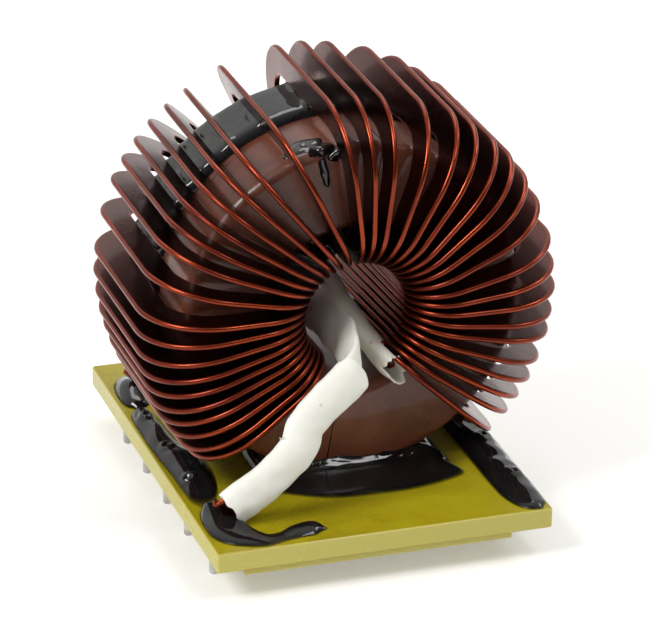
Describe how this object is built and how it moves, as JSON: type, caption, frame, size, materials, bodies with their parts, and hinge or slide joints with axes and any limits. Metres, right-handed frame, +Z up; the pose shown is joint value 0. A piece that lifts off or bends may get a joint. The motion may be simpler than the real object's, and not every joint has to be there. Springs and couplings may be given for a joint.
{
  "type": "toroidal inductor",
  "caption": "Toroidal inductor: ring core edge wound with flat enamelled copper strip that stands out as fins, set in black epoxy on a pinned board, with the strip ends in white sleeves.",
  "frame": {"origin": "on the floor at the pin tips, under the middle of the winding across and the middle of the board along", "axes": "+X along the board's front edge, +Y along the coil's axis to the rear, +Z up"},
  "size_m": [0.0656, 0.068, 0.068],
  "materials": {
    "core_coating": "satin",
    "copper_enamel": "gloss",
    "sleeving": "satin",
    "board_laminate": "satin",
    "spacer_laminate": "satin",
    "tinned_pins": "satin",
    "black_epoxy": "gloss"
  },
  "bodies": {
    "root": {"core_left_half": "core_coating", "core_right_half": "core_coating", "rim_band": "black_epoxy", "winding": "copper_enamel", "front_sleeve": "sleeving", "rear_sleeve": "sleeving", "base_board": "board_laminate", "spacer_board": "spacer_laminate", "left_pins": "tinned_pins", "right_pins": "tinned_pins", "core_bed_epoxy": "black_epoxy", "left_pin_epoxy": "black_epoxy", "right_pin_epoxy": "black_epoxy", "front_lead_epoxy": "black_epoxy", "rear_lead_epoxy": "black_epoxy", "top_dab_epoxy": "black_epoxy"}
  },
  "joints": []
}
